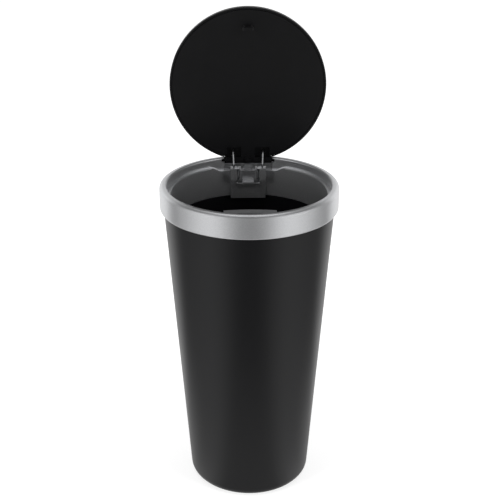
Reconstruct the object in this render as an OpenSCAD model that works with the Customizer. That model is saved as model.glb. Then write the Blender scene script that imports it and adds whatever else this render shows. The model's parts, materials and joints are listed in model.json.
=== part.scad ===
// Round car trash bin with a spring lid: tapered body shell, push-on collar,
// flush hinged lid, torsion spring at the hinge and a push latch at the front.
// The origin is the centre of the flat foot, +Z is up and the lid opens towards +Y.
// The solids stand as stored with the lid open.

/* [Bin] */
// Height from the foot to the top of the collar
height = 178.2; // [150:0.1:210]
// Outer diameter of the body where it meets the collar
body_top_d = 91.8; // [84:0.1:92]
// Outer diameter that the tapered side would have at floor level
body_foot_d = 67.8; // [60:0.1:74]
// Thickness of the body wall
body_wall = 1.8; // [1.4:0.1:2.2]
// Thickness of the body floor
floor_t = 2.2; // [1.5:0.1:4]
// Outer rounding between the side and the foot
foot_round = 5; // [3:0.5:8]
// Depth of the shallow recess under the foot
foot_recess = 1.2; // [0.6:0.1:2.5]
// Width of the flat ring that the bin stands on
foot_ring = 5; // [3:0.5:8]

/* [Collar] */
// Height of the outer band
band_h = 13.1; // [10:0.1:18]
// Thickness of the outer band
band_t = 1.7; // [1.4:0.1:3]
// Gap between the body and the outer band
band_gap = 0.4; // [0.2:0.1:0.6]
// How far the rim reaches in over the body's edge
rim_in = 1.9; // [1.7:0.1:2.1]
// Rounding of the outer top edge
top_round = 2.2; // [1:0.1:2.6]
// Rounding of the mouth's top edge
mouth_round = 1; // [0.5:0.1:1.4]
// Depth of the lid seat below the collar's top
seat_drop = 4.7; // [4.5:0.1:6]
// Thickness of the lid seat
seat_t = 1.6; // [1.2:0.1:2.2]
// Length of the inner skirt below the lid seat
skirt_h = 18; // [15:0.5:24]
// Thickness of the inner skirt
skirt_t = 1.4; // [1:0.1:1.8]
// How far the seat dips at the hinge
dip_h = 2.6; // [2.4:0.1:3.2]
// Length of the ramp on each side of the dip
dip_ramp = 6; // [4:0.5:9]

/* [Lid] */
// Gap between the lid's edge and the mouth
mouth_gap = 0.6; // [0.4:0.1:0.9]
// Overall thickness of the lid
lid_t = 4.2; // [3.8:0.1:4.4]
// Thickness of the top cover's plate and wall
cover_t = 1.2; // [1:0.1:1.4]
// Thickness of the inner panel
panel_t = 1.3; // [1:0.1:1.6]
// Rounding of the lid's edges
lid_round = 0.6; // [0.3:0.1:1]
// Distance of the cover's pegs inside the lid's edge
peg_in = 6.9; // [5.4:0.1:12]
// Radius of a peg
peg_r = 1.5; // [1:0.1:2]

/* [Hinge] */
// Width of the hinge block on the lid
hinge_w = 26.6; // [25:0.1:28]
// Distance of the hinge axis inside the mouth's edge
hinge_in = 0.6; // [0.4:0.1:0.8]
// Height of the hinge axis above the lid's underside
hinge_rise = 2.8; // [2.7:0.1:2.9]
// Radius of the round back of the hinge block
barrel_r = 1.5; // [1.4:0.1:1.6]
// Radius of the trunnions moulded on the hinge block
trunnion_r = 1.05; // [0.8:0.05:1.1]
// Length of one trunnion
trunnion_l = 1.7; // [1.2:0.1:2.2]
// Radial running clearance of a trunnion
trunnion_fit = 0.06; // [0.04:0.01:0.1]
// Clearance round the turning hinge block
hinge_gap = 0.3; // [0.2:0.05:0.35]
// Width of the bracket on the skirt
bracket_w = 20; // [19.6:0.1:21]
// Thickness of the bracket's plate in front of the skirt
bracket_t = 2; // [1.6:0.1:2.4]

/* [Spring] */
// Wire thickness of the lid spring
wire_d = 0.75; // [0.6:0.05:0.8]
// Gap between the turns of a coil
turn_gap = 0.04; // [0.03:0.01:0.06]
// Mean radius of the spring's coils
coil_r = 1.8; // [1.7:0.05:1.9]
// Number of whole turns in each coil
coil_turns = 3; // [2:1:3]
// Distance of each coil's inner end from the middle
coil_x = 5.2; // [5:0.1:5.4]
// Distance of the coils' axis in front of the hinge axis
coil_fore = 4.4; // [4.3:0.1:4.6]
// Distance of the coils' axis below the hinge axis
coil_drop = 3.9; // [3.8:0.1:4.1]
// Height of the spring's legs above the coils' axis
leg_h = 10.2; // [9:0.1:10.4]
// Lean of the spring's legs from upright, in degrees
leg_lean = 28; // [26:0.5:29]
// Depth of the middle loop below the coils' axis
loop_h = 8.5; // [7.5:0.1:9]

/* [Latch] */
// Distance of the striker inside the skirt
latch_in = 9; // [8.4:0.1:9.6]
// Width of the shelf at the front of the collar
shelf_w = 27.2; // [26.6:0.1:30]
// Depth of the shelf from the skirt to the middle of its free edge
shelf_l = 14.7; // [14.4:0.1:16]
// Depth of the apron that stiffens the shelf
apron_h = 5; // [4:0.1:6]
// Width of the slot in the shelf
slot_w = 12.8; // [12.4:0.1:13]
// Depth of the slot, front to back
slot_t = 2.4; // [2.2:0.1:2.8]
// Width of the striker's head
head_w = 6.2; // [5.6:0.1:6.4]
// Thickness of the striker
striker_t = 1.8; // [1.6:0.1:1.9]
// Length of the striker below the lid
striker_l = 6.4; // [6:0.1:7]
// Sliding clearance in the latch
latch_fit = 0.15; // [0.1:0.01:0.2]
// Travel of the latch slider
latch_travel = 4; // [3:0.1:4.2]
// Wall of the latch housing
case_wall = 1.2; // [1.1:0.1:1.3]
// Height of the latch housing
case_h = 19.5; // [19:0.1:21]
// Radius of the latch screws
screw_r = 1; // [0.8:0.05:1.1]

/* [Hidden] */

// Overlap of a cut, overlap of joined shapes, and reach of a cut into free space
eps = 0.01;
weld = 0.5;
over = 5;
// Gap between parts that are pushed together by hand
fit = 0.1;

body_top_r = body_top_d / 2;
foot_r = body_foot_d / 2;
band_r = body_top_r + band_gap;
collar_r = band_r + band_t;
mouth_r = body_top_r - rim_in;
lid_r = mouth_r - mouth_gap;
peg_ring_r = lid_r - peg_in;

band_z = height - band_h;
band_lead = 0.8;
band_round = 1;
seat_z = height - seat_drop;
seat_low = seat_z - seat_t;
seat_gap = 0.3;
lid_z = seat_z + seat_gap;
lid_top = lid_z + lid_t;
taper = (body_top_r - foot_r) / band_z;
lean = atan(taper);
rim_seat = 0.1;

inner_floor_z = foot_recess + floor_t;
skirt_z = seat_z - skirt_h;
skirt_gap = 0.2;
skirt_edge = 0.5;
skirt_or = side_r(skirt_z) - body_wall / cos(lean) - skirt_gap;
skirt_ir = skirt_or - skirt_t;

hinge_y = mouth_r - hinge_in;
hinge_z = lid_z + hinge_rise;
latch_y = skirt_ir - latch_in;
shelf_y = skirt_ir - shelf_l;
dip_z = seat_z - dip_h;
dip_land = 1.2;
notch_w = hinge_w + 2 * hinge_gap;
notch_fore = skirt_ir - 2 * over;
notch_back = hinge_y + barrel_r + hinge_gap;
dip_flat = notch_w / 2 + dip_land;
end_play = 0.2;
socket_end = hinge_w / 2 + trunnion_l + end_play;
socket_mouth = trunnion_r * 0.85;

coil_y = hinge_y - coil_fore;
coil_z = hinge_z - coil_drop;
coil_or = coil_r + wire_d / 2;
loop_fore = 1.2;
loop_lean = atan(loop_fore / loop_h);
coil_turn = 360 * coil_turns + leg_lean + loop_lean;
coil_end = coil_x + wire_d + (wire_d + turn_gap) * coil_turn / 360;
coil_gap = 0.3;
wire_gap = 0.15;

case_top = seat_low;
case_low = case_top - case_h;
jaw_t = slot_t - 2 * latch_fit;
slider_w = slot_w - 2 * latch_fit;
slider_t = 5.2;
screw_fit = 0.05;

// Outer radius of the body's tapered side at height z
function side_r(z) = foot_r + taper * z;

// Points of an arc about (cx, cy)
function arc(cx, cy, r, from, to, steps = 8) =
    [for (i = [0:steps]) let (a = from + (to - from) * i / steps) [cx + r * cos(a), cy + r * sin(a)]];

// Section of the collar's rim, seen from the side
function rim_section() = concat(
    [[mouth_r, seat_low], [band_r, seat_low], [band_r, band_z + band_lead], [band_r + band_lead, band_z]],
    arc(collar_r - band_round, band_z + band_round, band_round, -90, 0, 4),
    arc(collar_r - top_round, height - top_round, top_round, 0, 90),
    arc(mouth_r + mouth_round, height - mouth_round, mouth_round, 90, 180, 6));

// Height of the seat's surface across the hinge dip
function dip_curve(x) = let (u = (abs(x) - dip_flat) / dip_ramp)
    u <= 0 ? dip_z : u >= 1 ? seat_z : dip_z + dip_h * (1 - cos(180 * u)) / 2;

dip_steps = 9;
dip_xs = concat([for (i = [dip_steps:-1:0]) -dip_flat - dip_ramp * i / dip_steps],
    [for (i = [0:dip_steps]) dip_flat + dip_ramp * i / dip_steps]);

// Everything above the dipped seat, lowered by drop, at the back of the bin
module above_dip(drop = 0, top = height + over) {
    far = collar_r + over;
    translate([0, far, 0])
        rotate([90, 0, 0])
            linear_extrude(far - skirt_ir / 2)
                polygon(concat([for (x = dip_xs) [x, dip_curve(x) - drop]],
                    [[dip_flat + dip_ramp, top], [-dip_flat - dip_ramp, top]]));
}

module ring(outer, inner, low, high) {
    translate([0, 0, low])
        linear_extrude(high - low)
            difference() {
                circle(outer, $fn = 180);
                circle(inner, $fn = 180);
            }
}

// Box from its low and high corners
module span(low, high) {
    translate(low)
        cube(high - low);
}

module x_rod(r, from, to, y, z, sides = 48) {
    translate([from, y, z])
        rotate([0, 90, 0])
            cylinder(r = r, h = to - from, $fn = sides);
}

module both_sides() {
    children();
    mirror([1, 0, 0])
        children();
}

// One round wire of thickness d that runs through the given points
module wire(points, d, sides = 8) {
    polyhedron(points = tube_points(points, d / 2, sides), faces = tube_faces(len(points), sides));
}

function unit(v) = v / norm(v);
function along(p, i) = unit(i == 0 ? p[1] - p[0] : i == len(p) - 1 ? p[i] - p[i - 1]
    : unit(p[i + 1] - p[i]) + unit(p[i] - p[i - 1]));

// Side direction carried from ring to ring, so that the tube doesn't twist
function carried(p, i, v) = unit(v - along(p, i) * (v * along(p, i)));
function sides_of(p, i = 0, v = [0.31, 0.27, 0.91]) =
    i == len(p) ? [] : let (s = carried(p, i, v)) concat([s], sides_of(p, i + 1, s));

function tube_points(p, r, n) = let (s = sides_of(p))
    [for (i = [0:len(p) - 1]) let (t = cross(along(p, i), s[i]))
        for (k = [0:n - 1]) p[i] + r * (cos(360 * k / n) * s[i] + sin(360 * k / n) * t)];

function tube_faces(m, n) = concat(
    [[for (k = [0:n - 1]) k]],
    [for (i = [0:m - 2]) for (k = [0:n - 1])
        [i * n + k, (i + 1) * n + k, (i + 1) * n + (k + 1) % n, i * n + (k + 1) % n]],
    [[for (k = [n - 1:-1:0]) (m - 1) * n + k]]);

module bin_body() {
    inner_round = foot_round - body_wall;
    outer_c = side_r(foot_round) - foot_round / cos(lean);
    inner_c = side_r(inner_floor_z + inner_round) - (body_wall + inner_round) / cos(lean);
    rim_z = seat_low - rim_seat;
    ring_in = outer_c - foot_ring;
    color("#1b1c1f")
        difference() {
            rotate_extrude($fn = 180)
                polygon(concat(
                    [[0, foot_recess], [ring_in - foot_recess, foot_recess], [ring_in, 0]],
                    arc(outer_c, foot_round, foot_round, -90, -lean, 10),
                    [[body_top_r, band_z], [body_top_r, rim_z], [body_top_r - body_wall, rim_z],
                        [body_top_r - body_wall, band_z]],
                    arc(inner_c, inner_floor_z + inner_round, inner_round, -lean, -90, 8),
                    [[0, inner_floor_z]]));
            above_dip(seat_t + rim_seat);
        }
}

// Free space inside the mouth above the dipped seat
module dip_space() {
    intersection() {
        above_dip();
        ring(mouth_r, skirt_ir - over, skirt_z, height);
    }
}

module collar_rings() {
    seat_r = mouth_r + weld;
    rotate_extrude($fn = 180)
        polygon(rim_section());
    difference() {
        rotate_extrude($fn = 180)
            polygon([[skirt_ir, skirt_z + skirt_edge], [skirt_ir + skirt_edge, skirt_z], [skirt_or, skirt_z],
                [skirt_or, seat_low], [seat_r, seat_low], [seat_r, seat_z],
                [skirt_ir + skirt_edge, seat_z], [skirt_ir, seat_z - skirt_edge]]);
        dip_space();
    }
    intersection() {
        above_dip(seat_t, seat_z);
        difference() {
            ring(band_r + weld, skirt_ir, dip_z - seat_t, seat_z);
            dip_space();
        }
    }
}

// Cylinder that follows the shelf's curved free edge, moved forward by back
module shelf_edge(back = 0) {
    edge_r = 77;
    translate([0, -shelf_y - edge_r - back, 0])
        cylinder(r = edge_r, h = height + over, $fn = 240);
}

// Front shelf with its stiffening apron
module latch_shelf() {
    apron_t = 1.2;
    intersection() {
        span([-shelf_w / 2, -collar_r, seat_z - apron_h], [shelf_w / 2, 0, seat_z]);
        cylinder(r = skirt_ir + weld, h = height, $fn = 180);
        difference() {
            shelf_edge();
            intersection() {
                shelf_edge(apron_t);
                span([-shelf_w / 2 + apron_t, -collar_r, 0], [shelf_w / 2 - apron_t, 0, seat_low]);
            }
        }
    }
}

post_x = 10.6;
post_r = 2.1;
post_h = 4;
thread_end = 0.6;

module screw_posts() {
    both_sides()
        translate([post_x, -latch_y, seat_low - post_h])
            cylinder(r = post_r, h = post_h + eps, $fn = 40);
}

module rim_collar() {
    color("#b9bbbd")
        difference() {
            union() {
                collar_rings();
                latch_shelf();
                screw_posts();
            }
            span([-notch_w / 2, notch_fore, dip_z], [notch_w / 2, notch_back, height + over]);
            x_rod(trunnion_r + trunnion_fit, -socket_end, socket_end, hinge_y, hinge_z);
            both_sides()
                span([notch_w / 2 - eps, notch_fore, hinge_z - socket_mouth],
                    [socket_end, hinge_y, hinge_z + socket_mouth]);
            span([-bracket_w / 2 - fit, notch_fore, dip_z - seat_t - fit],
                [bracket_w / 2 + fit, notch_back, dip_z + eps]);
            span([-slot_w / 2, -latch_y - slot_t / 2, seat_low - over],
                [slot_w / 2, -latch_y + slot_t / 2, height]);
            both_sides()
                translate([post_x, -latch_y, seat_low - post_h - eps])
                    cylinder(r = screw_r + screw_fit, h = post_h + thread_end, $fn = 32);
        }
}

plate_y = skirt_ir - bracket_t;
knuckle_low = coil_z - 6.2;
knuckle_r = coil_r - 0.1;
spindle_r = coil_r - wire_d / 2 - 0.2;
cheek_in = coil_x - coil_gap;
cheek_t = 0.7;
cheek_out = coil_end + 0.2;
front_y = coil_y - coil_or - coil_gap;
guard_t = 0.9;
guard_top = coil_z + 0.6;
loop_y = coil_y - coil_r - loop_fore;
loop_z = coil_z - loop_h;
loop_bend = 1.2;
loop_bow = 0.15;
tab_w = 6.4;
tab_t = 1.3;
tab_lip = 0.7;
nib_r = 1.9;
nib_y = hinge_y - 0.8;
nib_h = 1;

// Cheek of a coil pocket, with a round top about the coils' axis
module cheek(from, to) {
    x_rod(knuckle_r, from, to, coil_y, coil_z);
    span([from, front_y, knuckle_low], [to, plate_y + eps, coil_z]);
}

// One half of the bracket: coil pocket with its spindle and front guard
module coil_pocket() {
    guard_x = coil_x + wire_d + coil_gap;
    cheek(cheek_in - cheek_t, cheek_in);
    cheek(cheek_out, bracket_w / 2);
    x_rod(spindle_r, cheek_in - eps, cheek_out + eps, coil_y, coil_z, 32);
    span([guard_x, front_y - guard_t, knuckle_low], [bracket_w / 2, front_y + eps, guard_top]);
}

module hinge_bracket() {
    lip_t = 1.1;
    seat_fit = 0.05;
    bracket_low = skirt_z - lip_t;
    back_y = notch_back - 2 * fit;
    saddle_y = hinge_y - barrel_r;
    saddle_top = lid_z - nib_h / 2;
    saddle_low = dip_z + seat_fit;
    tab_low = loop_z + wire_d / 2 + fit;
    nib_fit = 0.6;
    color("#b9bbbd")
        difference() {
            union() {
                intersection() {
                    span([-bracket_w / 2, plate_y, bracket_low], [bracket_w / 2, mouth_r, dip_z]);
                    cylinder(r = skirt_ir, h = height, $fn = 180);
                }
                intersection() {
                    span([-bracket_w / 2, plate_y, bracket_low], [bracket_w / 2, mouth_r, skirt_z - seat_fit]);
                    cylinder(r = skirt_or - fit, h = height, $fn = 180);
                }
                span([-bracket_w / 2, plate_y, dip_z - seat_t], [bracket_w / 2, back_y, saddle_low + eps]);
                span([-hinge_w / 2, saddle_y, saddle_low], [hinge_w / 2, back_y, saddle_top]);
                both_sides()
                    coil_pocket();
                span([-tab_w / 2, loop_y + wire_d / 2 + wire_gap, loop_z - 1],
                    [tab_w / 2, plate_y + eps, loop_z + tab_t]);
                span([-tab_w / 2, loop_y - tab_lip, tab_low], [tab_w / 2, plate_y, loop_z + tab_t]);
            }
            x_rod(hinge_rise + hinge_gap, -hinge_w, hinge_w, hinge_y, hinge_z, 96);
            both_sides()
                difference() {
                    x_rod(coil_or + coil_gap, cheek_in, cheek_out, coil_y, coil_z);
                    x_rod(spindle_r, cheek_in - 1, cheek_out + 1, coil_y, coil_z, 32);
                    span([0, front_y - over, knuckle_low], [bracket_w, front_y + eps, guard_top]);
                }
            span([-nib_r - nib_fit, saddle_y - 1, saddle_low + 2 * eps], [nib_r + nib_fit, notch_back, lid_z]);
        }
}

// Half of the lid spring, from its leg's tip to the middle of its loop
function spring_half() = let (
    leg_out = 0.5,
    turn_steps = 20,
    loop_steps = 4,
    n = coil_turns * turn_steps,
    x_out = coil_end - wire_d / 2,
    x_in = coil_x + wire_d / 2,
    out_y = coil_y - coil_r * cos(leg_lean),
    out_z = coil_z + coil_r * sin(leg_lean),
    leg_l = coil_z + leg_h - out_z)
    concat(
        [for (share = [1, 0.5]) [x_out + leg_out * share, out_y + leg_l * tan(leg_lean) * share,
            out_z + leg_l * share]],
        [for (i = [0:n]) let (u = i / n, a = leg_lean - u * coil_turn)
            [x_out + (x_in - x_out) * u, coil_y - coil_r * cos(a), coil_z + coil_r * sin(a)]],
        [for (i = [0:loop_steps]) let (a = 90 * i / loop_steps)
            [x_in - loop_bend * (1 - cos(a)), loop_y + (1 - sin(a)) * loop_bow,
                loop_z + loop_bend * (1 - sin(a))]]);

module lid_spring() {
    half = spring_half();
    last = len(half) - 1;
    color("#c9ccd0")
        wire(concat(half, [for (i = [last:-1:0]) [-half[i][0], half[i][1], half[i][2]]]), wire_d);
}

case_in_x = slider_w / 2 + latch_fit;
case_in_y = slider_t / 2 + latch_fit;
ceiling_t = 1.7;
cap_t = 1.6;
cap_fit = 0.4;
ear_t = 1.8;
ear_x = post_x + 2.3;
ear_y = 2.6;
ear_top = seat_low - post_h - screw_fit;
striker_gap = 0.5;
slider_top = lid_z - striker_l - striker_gap;
slider_h = 6.5;
slider_low = slider_top - slider_h;
spring_r = 1.1;
spring_d = 0.35;
spring_bore_r = spring_r + spring_d / 2 + 0.2;
spring_bore_h = 3.5;
tip_z = slider_low + 1.2;
follower_d = 0.8;
follower_y = -latch_y - case_in_y - case_wall / 2;
groove_t = 0.7;
snap_w = 3;
snap_h = 0.7;
snap_z = case_low + cap_t / 2;

// Block centred on the latch from its half sizes and its low and high ends
module latch_block(half_x, half_y, low, high) {
    span([-half_x, -latch_y - half_y, low], [half_x, -latch_y + half_y, high]);
}

module latch_housing() {
    window_x = follower_d / 2 + fit;
    hole_r = screw_r + 0.2;
    color("#202124")
        difference() {
            union() {
                latch_block(case_in_x + case_wall, case_in_y + case_wall, case_low, case_top - screw_fit);
                latch_block(ear_x, ear_y, ear_top - ear_t, ear_top);
            }
            latch_block(case_in_x, case_in_y, case_low - over, case_top - ceiling_t);
            latch_block(slot_w / 2, slot_t / 2, case_low, case_top + over);
            both_sides()
                translate([post_x, -latch_y, ear_top - ear_t - 1])
                    cylinder(r = hole_r, h = ear_t + 2, $fn = 32);
            span([-window_x, -latch_y - case_in_y - case_wall - 1, case_low + cap_t + cap_fit],
                [window_x, -latch_y - case_in_y + eps, tip_z + follower_d]);
            both_sides()
                span([case_in_x - eps, -latch_y - snap_w / 2, snap_z - snap_h / 2 - fit],
                    [case_in_x + case_wall + 1, -latch_y + snap_w / 2, snap_z + snap_h / 2 + fit]);
        }
}

module latch_cap() {
    spigot_r = spring_r - spring_d / 2 - fit;
    spigot_h = 1.6;
    color("#2a2b2e") {
        latch_block(case_in_x - fit, case_in_y - fit, case_low, case_low + cap_t);
        both_sides()
            span([case_in_x - fit - eps, -latch_y - snap_w / 2 + 2 * fit, snap_z - snap_h / 2],
                [case_in_x + case_wall * 0.6, -latch_y + snap_w / 2 - 2 * fit, snap_z + snap_h / 2]);
        translate([0, -latch_y, case_low + cap_t - eps])
            cylinder(r = spigot_r, h = spigot_h, $fn = 32);
    }
}

// Upright jaw with an inward nose, as a section across the bin
module jaw() {
    nose_gap = 0.3;
    nose_l = 1;
    flat_h = 0.6;
    corner = 0.6;
    nose_in = head_w / 2 + nose_gap;
    stem_in = nose_in + nose_l;
    out = slider_w / 2;
    tip = lid_z - seat_gap - nose_gap;
    translate([0, -latch_y + jaw_t / 2, 0])
        rotate([90, 0, 0])
            linear_extrude(jaw_t)
                polygon([[stem_in, slider_top - eps], [out, slider_top - eps], [out, tip - corner],
                    [out - corner, tip], [stem_in - fit, tip], [nose_in, tip - nose_l],
                    [nose_in, tip - nose_l - flat_h], [stem_in, tip - 2 * nose_l - flat_h]]);
    span([stem_in, -latch_y - slider_t / 2, slider_top - eps],
        [out, -latch_y + slider_t / 2, case_top - ceiling_t - latch_fit]);
}

module latch_slider() {
    color("#3a3b3f")
        difference() {
            union() {
                latch_block(slider_w / 2, slider_t / 2, slider_low, slider_top);
                both_sides()
                    jaw();
            }
            translate([0, -latch_y, slider_low - eps])
                cylinder(r = spring_bore_r, h = spring_bore_h, $fn = 48);
            translate([0, -latch_y - slider_t / 2 + groove_t, 0])
                rotate([90, 0, 0])
                    linear_extrude(groove_t + 1)
                        cam_groove();
        }
}

// Track of the follower: a straight way down, and a loop to one side at its top
module cam_groove() {
    w = follower_d + 0.3;
    bend_r = 2.2;
    low = tip_z - w / 2;
    high = tip_z + latch_travel + w / 2;
    translate([-w / 2, low])
        square([w, high - low]);
    difference() {
        translate([0, high - w])
            circle(bend_r, $fn = 40);
        translate([fit, high - w])
            circle(bend_r - w, $fn = 40);
        translate([-over, high - w - over])
            square([over - w / 2, 2 * over]);
        translate([-over, high])
            square([2 * over, over]);
    }
}

module latch_follower() {
    reach = case_wall / 2 + latch_fit + groove_t * 0.7;
    low_z = case_low + cap_t + cap_fit + 0.5;
    color("#c9ccd0") {
        translate([0, follower_y, low_z])
            cylinder(r = follower_d / 2, h = tip_z - low_z, $fn = 24);
        for (z = [low_z, tip_z])
            translate([0, follower_y, z]) {
                sphere(follower_d / 2, $fn = 24);
                rotate([-90, 0, 0])
                    cylinder(r = follower_d / 2, h = z == tip_z ? reach : case_wall / 2, $fn = 24);
            }
    }
}

// Compression spring under the slider, with one close turn at each end
module latch_spring() {
    turns = 8;
    turn_steps = 14;
    seat_gap = 0.05;
    close = spring_d + turn_gap;
    low = case_low + cap_t + spring_d / 2 + seat_gap;
    high = slider_low + spring_bore_h - spring_d / 2 - seat_gap;
    pitch = (high - low - 2 * close) / (turns - 2);
    color("#c9ccd0")
        wire([for (i = [0:turns * turn_steps]) let (turn = i / turn_steps, open = min(max(turn - 1, 0), turns - 2))
            [spring_r * cos(360 * turn), -latch_y + spring_r * sin(360 * turn),
                low + pitch * open + close * (turn - open)]], spring_d, 6);
}

module latch_screws() {
    head_r = 1.9;
    head_h = 1.3;
    cross_l = 2.2;
    cross_w = 0.5;
    cross_h = 0.7;
    head_z = ear_top - ear_t - head_h;
    shank_l = head_h + ear_t + post_h - 0.3;
    color("#8d9094")
        both_sides()
            translate([post_x, -latch_y, head_z])
                difference() {
                    union() {
                        cylinder(r = head_r, h = head_h, $fn = 40);
                        cylinder(r = screw_r, h = shank_l, $fn = 32);
                    }
                    for (turn = [0, 90])
                        rotate([0, 0, turn])
                            translate([-cross_l / 2, -cross_w / 2, -eps])
                                cube([cross_l, cross_w, cross_h]);
                }
}

// Turns a piece of the closed lid to the open position of the rest pose
module opened() {
    translate([0, hinge_y, hinge_z])
        rotate([-90, 0, 0])
            translate([0, -hinge_y, -hinge_z])
                children();
}

module at_pegs() {
    for (turn = [0:60:300])
        rotate([0, 0, turn])
            translate([peg_ring_r, 0, 0])
                children();
}

cover_low = lid_top - cover_t;
socket_floor = lid_z + 0.7;
socket_wall = 1;
peg_fit = 0.06;
panel_edge = 0.3;
block_fit = 0.15;
pocket_in = cheek_in - cheek_t - coil_gap;
pocket_out = hinge_w / 2 - 1.1;
pocket_fore = coil_y - coil_or - 1.5;
pocket_back = coil_y + coil_or + 0.2;
pocket_h = 2.4;
block_fore = pocket_fore - 1.2;

module lid_cover() {
    wall_r = lid_r - cover_t;
    edge = 0.2;
    gate_x = hinge_w / 2 + block_fit;
    color("#17181a")
        opened() {
            difference() {
                rotate_extrude($fn = 180)
                    polygon(concat(
                        [[0, cover_low], [wall_r, cover_low], [wall_r, lid_z + edge], [wall_r + edge, lid_z]],
                        arc(lid_r - lid_round, lid_z + lid_round, lid_round, -90, 0, 5),
                        arc(lid_r - lid_round, lid_top - lid_round, lid_round, 0, 90, 5),
                        [[0, lid_top]]));
                span([-gate_x, block_fore, lid_z - 1], [gate_x, collar_r, cover_low]);
                span([-gate_x, hinge_y - barrel_r - hinge_gap, lid_z], [gate_x, collar_r, lid_top + 1]);
            }
            at_pegs()
                translate([0, 0, socket_floor + socket_wall / 3])
                    cylinder(r = peg_r, h = cover_low - socket_floor, $fn = 32);
        }
}

// T-shaped striker under the lid's front edge, as a section across the bin
module striker() {
    neck = 1.7;
    root = 0.8;
    corner = 0.9;
    side_h = 0.7;
    back_h = 1;
    head = head_w / 2;
    low = lid_z - striker_l;
    side_top = low + corner + side_h;
    translate([0, -latch_y + striker_t / 2, 0])
        rotate([90, 0, 0])
            linear_extrude(striker_t)
                polygon([[-head + corner, low], [head - corner, low], [head, low + corner], [head, side_top],
                    [neck, side_top + back_h], [neck, lid_z - root], [neck + root, lid_z + eps],
                    [-neck - root, lid_z + eps], [-neck, lid_z - root], [-neck, side_top + back_h],
                    [-head, side_top], [-head, low + corner]]);
}

module hinge_block() {
    difference() {
        union() {
            span([-hinge_w / 2, block_fore, lid_z], [hinge_w / 2, hinge_y, cover_low - fit]);
            x_rod(barrel_r, -hinge_w / 2, hinge_w / 2, hinge_y, hinge_z);
            intersection() {
                x_rod(hinge_rise, -hinge_w / 2, hinge_w / 2, hinge_y, hinge_z, 96);
                span([-hinge_w, hinge_y - eps, lid_z - 1], [hinge_w, hinge_y + barrel_r, hinge_z]);
            }
            translate([0, nib_y, lid_z - nib_h])
                cylinder(r = nib_r, h = nib_h + hinge_rise - barrel_r, $fn = 48);
        }
        both_sides()
            span([pocket_in, pocket_fore, lid_z - nib_h - 1], [pocket_out, pocket_back, lid_z + pocket_h]);
    }
    x_rod(trunnion_r, -hinge_w / 2 - trunnion_l, hinge_w / 2 + trunnion_l, hinge_y, hinge_z);
}

module lid_panel() {
    panel_r = lid_r - cover_t - fit;
    socket_r = peg_r + peg_fit;
    color("#141517")
        opened() {
            difference() {
                rotate_extrude($fn = 180)
                    polygon([[0, lid_z], [panel_r - panel_edge, lid_z], [panel_r, lid_z + panel_edge],
                        [panel_r, lid_z + panel_t], [0, lid_z + panel_t]]);
                span([-hinge_w / 2, block_fore + weld, lid_z - 1], [hinge_w / 2, collar_r, lid_top]);
                at_pegs()
                    translate([0, 0, socket_floor])
                        cylinder(r = socket_r, h = lid_t, $fn = 32);
            }
            hinge_block();
            at_pegs()
                ring(socket_r + socket_wall, socket_r, lid_z + panel_t - eps, cover_low - fit);
            striker();
        }
}

bin_body();
rim_collar();
hinge_bracket();
lid_spring();
latch_housing();
latch_cap();
latch_slider();
latch_spring();
latch_follower();
latch_screws();
lid_cover();
lid_panel();
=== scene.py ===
# Studio scene of an open car trash bin: black moulded cup, silver collar, sprung flush lid.
import json
import math

import bmesh
import bpy
from mathutils import Matrix, Vector


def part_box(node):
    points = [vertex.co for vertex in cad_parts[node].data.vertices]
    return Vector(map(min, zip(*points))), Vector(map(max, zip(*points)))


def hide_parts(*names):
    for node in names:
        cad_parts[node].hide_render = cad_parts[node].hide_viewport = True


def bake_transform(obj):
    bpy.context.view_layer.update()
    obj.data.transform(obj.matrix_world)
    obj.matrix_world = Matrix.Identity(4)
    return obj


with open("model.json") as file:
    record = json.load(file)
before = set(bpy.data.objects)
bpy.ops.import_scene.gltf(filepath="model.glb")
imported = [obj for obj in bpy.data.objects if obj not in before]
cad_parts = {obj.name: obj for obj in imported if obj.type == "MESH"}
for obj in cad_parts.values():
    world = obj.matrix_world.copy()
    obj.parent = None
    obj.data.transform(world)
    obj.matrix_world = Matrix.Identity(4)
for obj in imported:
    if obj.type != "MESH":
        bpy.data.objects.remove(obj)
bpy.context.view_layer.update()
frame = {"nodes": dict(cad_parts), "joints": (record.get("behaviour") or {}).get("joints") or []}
nodes = frame["nodes"]
mm = 0.001
fullTurn = 2 * math.pi
print("frame loaded:", len(nodes), "nodes")


def hexToLinear(code):
    # the standard display curve, taken off each channel
    shares = [int(code[i:i + 2], 16) / 255 for i in (1, 3, 5)]
    linear = [c / 12.92 if c <= 0.04045 else ((c + 0.055) / 1.055) ** 2.4 for c in shares]
    return tuple(linear) + (1.0,)


def greyOf(level):
    return (level,) * 3 + (1.0,)


def perMetre(sizeInMm):
    # a texture scale from the real size of one grain
    return 1 / (sizeInMm * mm)


# Sockets that share a name in the mix node go by number
colourMix = {"factor": 0, "low": 6, "high": 7, "result": 2}
levelMix = {"factor": 0, "low": 2, "high": 3}


def addNode(tree, kind, settings=None, links=None):
    # a setting is a socket's value, by name or number, or else a property of the node
    node = tree.nodes.new(kind)
    for name, value in (settings or {}).items():
        if isinstance(name, int) or name in node.inputs:
            node.inputs[name].default_value = value
        else:
            setattr(node, name, value)
    for name, socket in (links or {}).items():
        tree.links.new(socket, node.inputs[name])
    return node


def addMath(tree, operation, *inputs):
    # an input is another node's socket or a plain number
    sockets = {i: part for i, part in enumerate(inputs) if isinstance(part, bpy.types.NodeSocket)}
    numbers = {i: part for i, part in enumerate(inputs) if i not in sockets}
    node = addNode(tree, "ShaderNodeMath", {"operation": operation, **numbers}, sockets)
    return node.outputs[0]


# Materials

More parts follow.
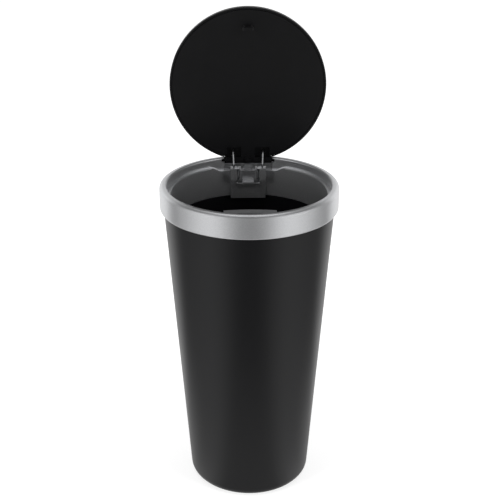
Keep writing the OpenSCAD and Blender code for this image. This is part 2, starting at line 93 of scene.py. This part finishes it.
plasticLooks = {
    # satin black ABS, moulded in a finely blasted tool: soft sheen, no visible print
    "satinBlackAbs": {
        "dark": "#09090b", "light": "#0c0c0e", "rough": 0.32, "roughMore": 0.37, "ior": 1.46,
        "sheen": 0.38, "grain": 0.5, "grainDepth": 0.006, "patch": 18},
    # black ABS with a spark-eroded grain, of the lid and the latch's case: dull and even
    "grainedBlackAbs": {
        "dark": "#09090a", "light": "#0c0c0d", "rough": 0.36, "roughMore": 0.43, "ior": 1.46,
        "sheen": 0.36, "grain": 0.45, "grainDepth": 0.014, "patch": 14},
    # dark grey acetal of the latch slider
    "greyAcetal": {
        "dark": "#36373a", "light": "#3b3c40", "rough": 0.36, "roughMore": 0.44, "ior": 1.48,
        "sheen": 0.5, "grain": 0.6, "grainDepth": 0.004, "patch": 5},
}
plasticNoise = {"patchDetail": 3.0, "grainDetail": 2.0, "grainRoughness": 0.6}

# satin silver lacquer sprayed on ABS: aluminium flakes under a thin clear coat
lacquer = {
    "light": "#d9dadc", "dark": "#d0d1d3", "flake": 0.35, "metallic": 0.9,
    "rough": 0.29, "roughMore": 0.32, "orangePeel": 1.6, "orangePeelDepth": 0.002,
    "coat": 0.15, "coatRough": 0.3,
}

metalLooks = {
    # drawn spring wire: bright, with fine die lines
    "drawnSpringWire": {
        "light": "#eff0f2", "dark": "#d6d8db", "rough": 0.24, "roughMore": 0.36, "grain": 0.3},
    # zinc plated steel of the screws: paler and duller
    "zincPlatedSteel": {
        "light": "#a9acb0", "dark": "#8d9094", "rough": 0.34, "roughMore": 0.48, "grain": 0.4},
}
metalNoiseDetail = 3.0


def newMaterial(name, values):
    material = bpy.data.materials.new(name)
    material.use_nodes = True
    tree = material.node_tree
    shader = tree.nodes["Principled BSDF"]
    for socket, value in values.items():
        shader.inputs[socket].default_value = value
    place = addNode(tree, "ShaderNodeTexCoord").outputs["Object"]
    return material, tree, shader, place


def addTint(tree, shader, look, factor):
    tint = addNode(
        tree, "ShaderNodeMix",
        {"data_type": "RGBA", colourMix["low"]: hexToLinear(look["dark"]),
         colourMix["high"]: hexToLinear(look["light"])},
        {colourMix["factor"]: factor})
    tree.links.new(tint.outputs[colourMix["result"]], shader.inputs["Base Color"])


def addGloss(tree, shader, look, factor):
    gloss = addNode(tree, "ShaderNodeMapRange",
                    {"To Min": look["rough"], "To Max": look["roughMore"]}, {"Value": factor})
    tree.links.new(gloss.outputs["Result"], shader.inputs["Roughness"])


def addRelief(tree, shader, depth, height):
    relief = addNode(tree, "ShaderNodeBump", {"Strength": 1.0, "Distance": depth * mm},
                     {"Height": height})
    tree.links.new(relief.outputs["Normal"], shader.inputs["Normal"])


def mouldedPlastic(name):
    look = plasticLooks[name]
    material, tree, shader, place = newMaterial(
        name, {"IOR": look["ior"], "Specular IOR Level": look["sheen"]})
    patches = addNode(
        tree, "ShaderNodeTexNoise",
        {"Scale": perMetre(look["patch"]), "Detail": plasticNoise["patchDetail"]},
        {"Vector": place})
    grain = addNode(
        tree, "ShaderNodeTexNoise",
        {"Scale": perMetre(look["grain"]), "Detail": plasticNoise["grainDetail"],
         "Roughness": plasticNoise["grainRoughness"]},
        {"Vector": place})
    addTint(tree, shader, look, patches.outputs["Fac"])
    addGloss(tree, shader, look, patches.outputs["Fac"])
    addRelief(tree, shader, look["grainDepth"], grain.outputs["Fac"])
    return material


def silverLacquer(name):
    material, tree, shader, place = newMaterial(
        name, {"Metallic": lacquer["metallic"], "Coat Weight": lacquer["coat"],
               "Coat Roughness": lacquer["coatRough"]})
    flakes = addNode(tree, "ShaderNodeTexVoronoi", {"Scale": perMetre(lacquer["flake"])},
                     {"Vector": place})
    share = addNode(tree, "ShaderNodeSeparateColor", links={"Color": flakes.outputs["Color"]})
    peel = addNode(tree, "ShaderNodeTexNoise", {"Scale": perMetre(lacquer["orangePeel"])},
                   {"Vector": place})
    addTint(tree, shader, lacquer, share.outputs["Red"])
    addGloss(tree, shader, lacquer, share.outputs["Green"])
    addRelief(tree, shader, lacquer["orangePeelDepth"], peel.outputs["Fac"])
    return material


def platedMetal(name):
    look = metalLooks[name]
    material, tree, shader, place = newMaterial(name, {"Metallic": 1.0})
    lines = addNode(tree, "ShaderNodeTexNoise",
                    {"Scale": perMetre(look["grain"]), "Detail": metalNoiseDetail},
                    {"Vector": place})
    addTint(tree, shader, look, lines.outputs["Fac"])
    addGloss(tree, shader, look, lines.outputs["Fac"])
    return material


materials = {name: mouldedPlastic(name) for name in plasticLooks}
materials.update({name: platedMetal(name) for name in metalLooks})
materials["satinSilverLacquer"] = silverLacquer("satinSilverLacquer")
print("materials made:", len(materials))

# the two springs are drawn anew below, in the same wire
finishOf = {
    "bin_body": "satinBlackAbs",
    "rim_collar": "satinSilverLacquer",
    "hinge_bracket": "satinSilverLacquer",
    "lid_spring": "drawnSpringWire",
    "latch_housing": "grainedBlackAbs",
    "latch_cap": "grainedBlackAbs",
    "latch_slider": "greyAcetal",
    "latch_spring": "drawnSpringWire",
    "latch_follower": "drawnSpringWire",
    "latch_screws": "zincPlatedSteel",
    "lid_cover": "grainedBlackAbs",
    "lid_panel": "grainedBlackAbs",
}
for nodeName, finish in finishOf.items():
    mesh = nodes[nodeName].data
    mesh.materials.clear()
    mesh.materials.append(materials[finish])


# Springs: one section is drawn through straight stretches and turns

def addPiece(name, bm, finish):
    mesh = bpy.data.meshes.new(name)
    bm.to_mesh(mesh)
    bm.free()
    for face in mesh.polygons:
        face.use_smooth = True
    mesh.materials.append(materials[finish])
    piece = bpy.data.objects.new(name, mesh)
    bpy.context.scene.collection.objects.link(piece)
    return piece


def edgesOf(ring):
    return [part for part in ring if isinstance(part, bmesh.types.BMEdge)]


def startSection(bm, place, heading, radius, sides):
    made = bmesh.ops.create_circle(bm, cap_ends=False, segments=sides, radius=radius)["verts"]
    turn = heading.to_track_quat("Z", "Y").to_matrix().to_4x4()
    bmesh.ops.transform(bm, matrix=Matrix.Translation(place) @ turn, verts=made)
    return made + list({edge for vert in made for edge in vert.link_edges})


def sweepSection(bm, ring, centre, axis, angle, steps, rise=0.0):
    # turns the open ring about an axis, rising along it, and returns the new open ring
    made = bmesh.ops.spin(bm, geom=ring, cent=centre, axis=axis, dvec=axis * (rise / steps),
                          angle=angle, steps=steps, use_merge=False, use_duplicate=False)
    return made["geom_last"]


def extrudeSection(bm, ring, move):
    made = bmesh.ops.extrude_edge_only(bm, edges=edgesOf(ring))["geom"]
    verts = [part for part in made if isinstance(part, bmesh.types.BMVert)]
    bmesh.ops.translate(bm, verts=verts, vec=move)
    return verts + [edge for edge in edgesOf(made) if all(v in verts for v in edge.verts)]


def extrudeStretches(bm, ring, move, count):
    for stretch in range(count):
        ring = extrudeSection(bm, ring, move / count * mm)
    return ring


endDepthShare = 0.6  # how far a rounded wire end stands out, as a share of its inset


def closeEnd(bm, ring, swell):
    # rounds off a cut end of the wire
    made = bmesh.ops.edgenet_fill(bm, edges=edgesOf(ring))["faces"]
    bmesh.ops.inset_region(bm, faces=made, thickness=swell, depth=swell * endDepthShare)


hinge = Vector(next(j["pos_m"] for j in frame["joints"] if j["name"] == "lid_hinge"))

# Springs in millimetres and degrees
lidSpring = {
    "wire": 0.75, "turnGap": 0.04, "coilRadius": 1.8, "turns": 3, "innerEnd": 5.2,
    # the coils' axis lies this far in front of the hinge and below it
    "fore": 4.4, "drop": 3.9,
    # the legs up the lid, and the loop that joins the coils under the bracket's tab
    "legHeight": 10.2, "legLean": 28, "legOut": 0.5, "loopDrop": 8.5, "loopFore": 1.2, "bend": 1.2,
    "sides": 16, "stepsPerTurn": 40, "legStretches": 4, "loopStretches": 3, "bendSteps": 10,
    "endSwell": 0.12, "middleMerge": 0.02, "weld": 0.005,
}


def buildLidSpring():
    s = lidSpring
    lean = math.radians(s["legLean"])
    loopLean = math.atan(s["loopFore"] / s["loopDrop"])
    turned = s["turns"] * fullTurn + lean + loopLean
    pitch = s["wire"] + s["turnGap"]
    innerX = s["innerEnd"] + s["wire"] / 2
    outerX = innerX + pitch * turned / fullTurn
    axisY = hinge.y / mm - s["fore"]
    axisZ = hinge.z / mm - s["drop"]
    radius = s["coilRadius"]
    legFoot = Vector((outerX, axisY - radius * math.cos(lean), axisZ + radius * math.sin(lean)))
    legRise = axisZ + s["legHeight"] - legFoot.z
    leg = Vector((s["legOut"], legRise * math.tan(lean), legRise))

    # right half: its leg from the end down, its coil, its side of the loop
    # known fault: the coil turns the wrong way, so the loop's side starts too high and is
    # flattened, and its bar ends open, 1.5 to 2.2 mm short of the middle
    bm = bmesh.new()
    ring = startSection(bm, (legFoot + leg) * mm, -leg.normalized(), s["wire"] / 2 * mm, s["sides"])
    closeEnd(bm, ring, s["endSwell"] * mm)
    ring = extrudeStretches(bm, ring, -leg, s["legStretches"])
    steps = int(s["stepsPerTurn"] * turned / fullTurn)
    centre = Vector((0, axisY, axisZ)) * mm
    towardsMiddle = Vector((-1, 0, 0))
    ring = sweepSection(bm, ring, centre, towardsMiddle, turned, steps, (outerX - innerX) * mm)
    coilOff = Vector((innerX, axisY - radius * math.cos(loopLean),
                      axisZ - radius * math.sin(loopLean)))
    down = Vector((0, math.sin(loopLean), math.cos(loopLean)))
    fall = (s["loopDrop"] - s["bend"]) / down.z - radius * math.sin(loopLean)
    ring = extrudeStretches(bm, ring, -down * fall, s["loopStretches"])
    bendCentre = (coilOff - down * fall - Vector((s["bend"], 0, 0))) * mm
    ring = sweepSection(bm, ring, bendCentre, Vector((0, 1, 0)), math.pi / 2, s["bendSteps"])
    extrudeSection(bm, ring, towardsMiddle * (innerX - s["bend"]) * mm)

    # the left half mirrors it
    bmesh.ops.mirror(bm, geom=bm.verts[:] + bm.edges[:] + bm.faces[:], axis="X",
                     merge_dist=s["middleMerge"] * mm)
    bmesh.ops.remove_doubles(bm, verts=bm.verts, dist=s["weld"] * mm)
    bmesh.ops.recalc_face_normals(bm, faces=bm.faces)
    piece = addPiece("lid_spring_wire", bm, "drawnSpringWire")
    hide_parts("lid_spring")
    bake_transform(piece)


latchSpring = {
    "wire": 0.35, "closeTurns": 1, "openTurns": 6, "turnGap": 0.04, "sides": 10,
    "stepsPerTurn": 28, "endSwell": 0.05,
}


def buildLatchSpring():
    s = latchSpring
    low, high = (Vector(corner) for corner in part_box("latch_spring"))
    wire = s["wire"] * mm
    radius = (high.x - low.x - wire) / 2
    centre = Vector(((low.x + high.x) / 2, (low.y + high.y) / 2, low.z + wire / 2))
    closeRise = (s["wire"] + s["turnGap"]) * mm * s["closeTurns"]
    openRise = high.z - low.z - wire - 2 * closeRise
    closeCoil = (s["closeTurns"], closeRise)
    openCoil = (s["openTurns"], openRise)

    bm = bmesh.new()
    start = centre + Vector((radius, 0, 0))
    ring = startSection(bm, start, Vector((0, 1, 0)), wire / 2, s["sides"])
    closeEnd(bm, ring, s["endSwell"] * mm)
    for turns, rise in (closeCoil, openCoil, closeCoil):
        ring = sweepSection(bm, ring, centre, Vector((0, 0, 1)), turns * fullTurn,
                            turns * s["stepsPerTurn"], rise)
    closeEnd(bm, ring, s["endSwell"] * mm)
    bmesh.ops.recalc_face_normals(bm, faces=bm.faces)
    piece = addPiece("latch_spring_wire", bm, "drawnSpringWire")
    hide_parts("latch_spring")
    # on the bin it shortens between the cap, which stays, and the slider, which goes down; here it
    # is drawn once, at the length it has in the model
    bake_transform(piece)


buildLidSpring()
buildLatchSpring()
print("springs wound")


# Stage, light and camera

stageLook = {
    "size": 3.0,
    # the floor as the camera sees it: its own glow dimmed close to the foot as painted shade, under
    # which the real shadow also shows, white from whiteTo on
    "shade": 0.35, "paintedShadeNearWhite": 0.76, "farWhite": 1.0, "whiteFrom": 0.08, "whiteTo": 0.3,
    # the floor close round the foot, as a mirror in the bin's side sees it
    "footGlow": 0.65, "glowFrom": 0.05, "glowTo": 0.3,
    # the floor and the room, as matt surfaces see them
    "bounce": "#c8c8c8", "ambient": 0.1,
}
# brightness of the studio from straight in front (0) round to straight behind (1)
aroundStops = [(0.0, 0.19), (0.09, 0.28), (0.2, 0.8), (0.28, 0.95), (0.38, 0.75), (0.48, 0.5),
               (0.6, 0.2), (0.7, 1.0), (0.85, 1.0), (1.0, 0.72)]
# share of it that is left from the horizon (0) up to the ceiling (1)
upwardStops = [(0.0, 1.0), (0.45, 1.0), (0.6, 0.14), (0.82, 0.14), (0.92, 1.0), (1.0, 1.0)]


def addRamp(tree, stops, factor):
    ramp = addNode(tree, "ShaderNodeValToRGB", links={"Fac": factor})
    elements = ramp.color_ramp.elements
    for element, (place, level) in zip(elements, (stops[0], stops[-1])):
        element.position = place
        element.color = greyOf(level)
    for place, level in stops[1:-1]:
        elements.new(place).color = greyOf(level)
    return ramp.outputs["Color"]


def glowAround(tree, heading):
    # dim in front of the bin, lit from both sides, white behind it
    side = addMath(tree, "ABSOLUTE", heading.outputs["X"])
    front = addMath(tree, "MULTIPLY", heading.outputs["Y"], -1.0)
    angle = addMath(tree, "ARCTAN2", side, front)
    share = addMath(tree, "DIVIDE", angle, math.pi)
    return addRamp(tree, aroundStops, share)


def seenDirectly(tree, path):
    # the camera looks at it, straight or through something clear
    return addMath(tree, "MAXIMUM", path.outputs["Is Camera Ray"],
                   path.outputs["Is Transmission Ray"])


def floorShader(tree):
    matt = addNode(tree, "ShaderNodeBsdfDiffuse", {"Color": hexToLinear(stageLook["bounce"])})
    place = addNode(tree, "ShaderNodeTexCoord").outputs["Object"]
    heading = addNode(tree, "ShaderNodeSeparateXYZ", links={0: place})
    distance = addNode(tree, "ShaderNodeVectorMath", {"operation": "LENGTH"}, {0: place})

    # for the camera: white, its glow dimmed close to the foot as painted shade, and still darker
    # where the bin's shadow falls
    shown = addNode(tree, "ShaderNodeBsdfDiffuse", {"Color": greyOf(stageLook["shade"])})
    # painted shade: the floor's own glow is lower close to the foot, whatever the lamps do
    glowWithPaintedShade = addNode(
        tree, "ShaderNodeMapRange",
        {"From Min": stageLook["whiteFrom"], "From Max": stageLook["whiteTo"],
         "To Min": stageLook["paintedShadeNearWhite"], "To Max": stageLook["farWhite"]},
        {"Value": distance.outputs["Value"]})
    white = addNode(tree, "ShaderNodeEmission", links={"Strength": glowWithPaintedShade.outputs["Result"]})
    pale = addNode(tree, "ShaderNodeAddShader", links={0: shown.outputs[0], 1: white.outputs[0]})

    # for reflections: the glow of the studio, and a patch of light close round the foot
    footGlow = addNode(
        tree, "ShaderNodeMapRange",
        {"interpolation_type": "SMOOTHSTEP", "From Min": stageLook["glowFrom"],
         "From Max": stageLook["glowTo"], "To Min": stageLook["footGlow"], "To Max": 0.0},
        {"Value": distance.outputs["Value"]})
    glow = addMath(tree, "MAXIMUM", footGlow.outputs["Result"], glowAround(tree, heading))
    mirrored = addNode(tree, "ShaderNodeEmission", links={"Strength": glow})

    path = addNode(tree, "ShaderNodeLightPath")
    unseen = addNode(
        tree, "ShaderNodeMixShader",
        links={0: path.outputs["Is Glossy Ray"], 1: matt.outputs[0], 2: mirrored.outputs[0]})
    mix = addNode(
        tree, "ShaderNodeMixShader",
        links={0: seenDirectly(tree, path), 1: unseen.outputs[0], 2: pale.outputs[0]})
    return mix.outputs[0]


def buildFloor():
    bm = bmesh.new()
    bmesh.ops.create_grid(bm, x_segments=1, y_segments=1, size=stageLook["size"])
    mesh = bpy.data.meshes.new("floor")
    bm.to_mesh(mesh)
    bm.free()
    floor = bpy.data.objects.new("floor", mesh)
    bpy.context.scene.collection.objects.link(floor)
    material = bpy.data.materials.new("studioFloor")
    material.use_nodes = True
    tree = material.node_tree
    tree.nodes.remove(tree.nodes["Principled BSDF"])
    surface = tree.nodes["Material Output"].inputs["Surface"]
    tree.links.new(floorShader(tree), surface)
    mesh.materials.append(material)


def buildWorld():
    # white to the camera, the glow of the studio in reflections, a low even light elsewhere
    world = bpy.data.worlds.new("studio")
    bpy.context.scene.world = world
    world.use_nodes = True
    tree = world.node_tree
    tree.nodes.clear()
    path = addNode(tree, "ShaderNodeLightPath")
    place = addNode(tree, "ShaderNodeTexCoord").outputs["Generated"]
    heading = addNode(tree, "ShaderNodeSeparateXYZ", links={0: place})
    upward = addRamp(tree, upwardStops, heading.outputs["Z"])
    glow = addMath(tree, "MULTIPLY", glowAround(tree, heading), upward)
    unseen = addNode(
        tree, "ShaderNodeMix", {"data_type": "FLOAT", levelMix["low"]: stageLook["ambient"]},
        {levelMix["factor"]: path.outputs["Is Glossy Ray"], levelMix["high"]: glow})
    level = addMath(tree, "MAXIMUM", seenDirectly(tree, path), unseen.outputs[0])
    room = addNode(tree, "ShaderNodeBackground", {"Color": greyOf(1)}, {"Strength": level})
    addNode(tree, "ShaderNodeOutputWorld", links={"Surface": room.outputs[0]})


# place and aim in metres, size across and up, power in watts
lamps = {
    "leftSoftbox": {
        "place": (-0.85, -0.55, 0.45), "aim": (0, 0, 0.13), "size": (0.35, 0.9), "power": 9},
    "rightSoftbox": {
        "place": (0.85, -0.55, 0.45), "aim": (0, 0, 0.13), "size": (0.35, 0.9), "power": 9},
    "topSoftbox": {
        "place": (0, 0.1, 1.1), "aim": (0, 0, 0.1), "size": (0.9, 0.9), "power": 8},
}


def buildLamps():
    for name, lamp in lamps.items():
        data = bpy.data.lights.new(name, "AREA")
        data.shape = "RECTANGLE"
        data.size, data.size_y = lamp["size"]
        data.energy = lamp["power"]
        light = bpy.data.objects.new(name, data)
        light.location = lamp["place"]
        towards = Vector(lamp["aim"]) - light.location
        light.rotation_euler = towards.to_track_quat("-Z", "Y").to_euler()
        light.visible_glossy = False  # gloss shows the even glow of the studio, not a hot lamp
        bpy.context.scene.collection.objects.link(light)


# place in metres, angles in degrees, lens and sensor in millimetres
cameraSet = {
    "place": (-0.008965, -0.527306, 0.370506), "pitch": 66.3, "turn": -0.974,
    "lens": 75.64, "sensor": 36, "shift": 0.0015, "nearest": 0.01,
}


def buildCamera():
    data = bpy.data.cameras.new("camera")
    data.lens = cameraSet["lens"]
    data.sensor_width = cameraSet["sensor"]
    data.shift_x = cameraSet["shift"]
    data.clip_start = cameraSet["nearest"]
    camera = bpy.data.objects.new("camera", data)
    camera.location = cameraSet["place"]
    camera.rotation_euler = (math.radians(cameraSet["pitch"]), 0, math.radians(cameraSet["turn"]))
    bpy.context.scene.collection.objects.link(camera)
    bpy.context.scene.camera = camera


buildFloor()
buildWorld()
buildLamps()
buildCamera()
bpy.context.scene.view_settings.view_transform = "Standard"
print("stage, lamps and camera placed")
